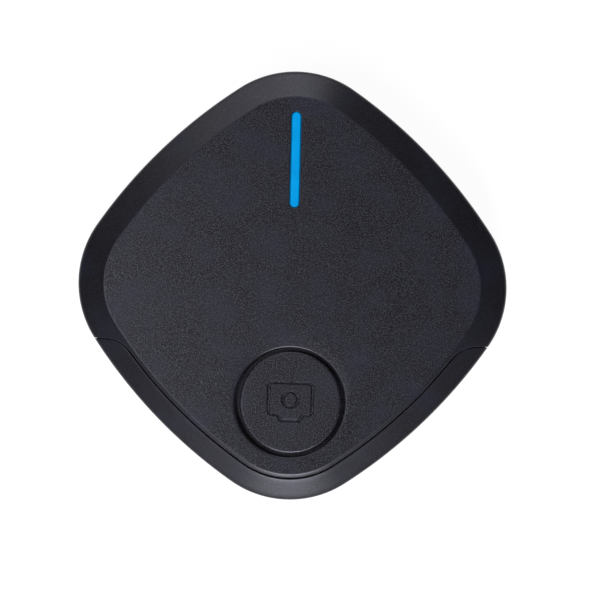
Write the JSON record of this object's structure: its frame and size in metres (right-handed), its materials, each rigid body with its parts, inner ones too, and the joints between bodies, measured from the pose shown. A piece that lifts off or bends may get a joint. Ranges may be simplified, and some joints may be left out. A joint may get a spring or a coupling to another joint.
{
  "type": "bluetooth tracker tag",
  "caption": "Flat rounded-diamond tracker tag with a bevelled front, a round call button, a slim light bar, a pull-out hanging loop and a coin-cell door in its back.",
  "frame": {"origin": "centre of the diamond outline, on the flat back face the tag lies on", "axes": "+Z out of the front face; +Y from the centre away from the button, towards the light bar; +X to the right when looking at the front with the light bar at the top"},
  "size_m": [0.042, 0.042, 0.0085],
  "materials": {
    "case_plastic": "fine satin texture",
    "loop_plastic": "fine satin texture",
    "button_plastic": "fine satin texture",
    "light_plastic": "translucent satin",
    "gasket_rubber": "matte",
    "cell_steel": "fine turned",
    "cell_seal": "matte",
    "cell_filling": "hidden filling",
    "spring_steel": "bright plated",
    "board_laminate": "solder mask",
    "screw_steel": "plated",
    "chip_epoxy": "moulded",
    "crystal_can": "nickel plated",
    "copper_track": "gold plated",
    "capacitor_body": "ceramic",
    "resistor_body": "glazed",
    "solder_tin": "tinned",
    "led_body": "moulded",
    "led_lens": "clear",
    "switch_body": "moulded",
    "switch_plunger_plastic": "moulded",
    "tape": "foam tape",
    "buzzer_brass": "satin",
    "buzzer_ceramic": "silvered ceramic"
  },
  "bodies": {
    "case": {"front_cover": "case_plastic", "rear_cover": "case_plastic", "light_bar": "light_plastic", "cell_can": "cell_steel", "cell_gasket": "cell_seal", "cell_cap": "cell_steel", "cell_core": "cell_filling", "positive_contacts": "spring_steel", "negative_contact": "spring_steel", "circuit_board": "board_laminate", "board_screws": "screw_steel", "bluetooth_chip": "chip_epoxy", "crystals": "crystal_can", "antenna_trace": "copper_track", "capacitors": "capacitor_body", "resistors": "resistor_body", "chip_terminals": "solder_tin", "led_bodies": "led_body", "led_lenses": "led_lens", "switch_base": "switch_body", "switch_terminals": "solder_tin", "switch_cover": "spring_steel", "switch_dome": "spring_steel", "buzzer_tape": "tape", "buzzer_plate": "buzzer_brass", "buzzer_ceramic": "buzzer_ceramic", "buzzer_springs": "spring_steel", "test_pads": "copper_track"},
    "button": {"button_cap": "button_plastic"},
    "plunger": {"switch_plunger": "switch_plunger_plastic"},
    "loop": {"hanging_loop": "loop_plastic"},
    "door": {"battery_door": "case_plastic", "door_gasket": "gasket_rubber"}
  },
  "joints": [
    {"name": "button_press", "type": "slide", "parent": "case", "child": "button", "axis": [0, 0, -1], "range_m": [0, 0.00025], "stiffness_N_per_m": 4000},
    {"name": "plunger_press", "type": "slide", "parent": "case", "child": "plunger", "axis": [0, 0, -1], "range_m": [0, 0.00025], "deforming": ["switch_dome"]},
    {"name": "loop_slide", "type": "slide", "parent": "case", "child": "loop", "axis": [0, -1, 0], "range_m": [0, 0.005]},
    {"name": "door_turn", "type": "hinge", "parent": "case", "child": "door", "pos_m": [0, 0.002, 0], "axis": [0, 0, 1], "range_deg": [0, 45]}
  ],
  "couplings": [
    {"joint": "plunger_press", "follows": "button_press", "ratio": 1}
  ]
}
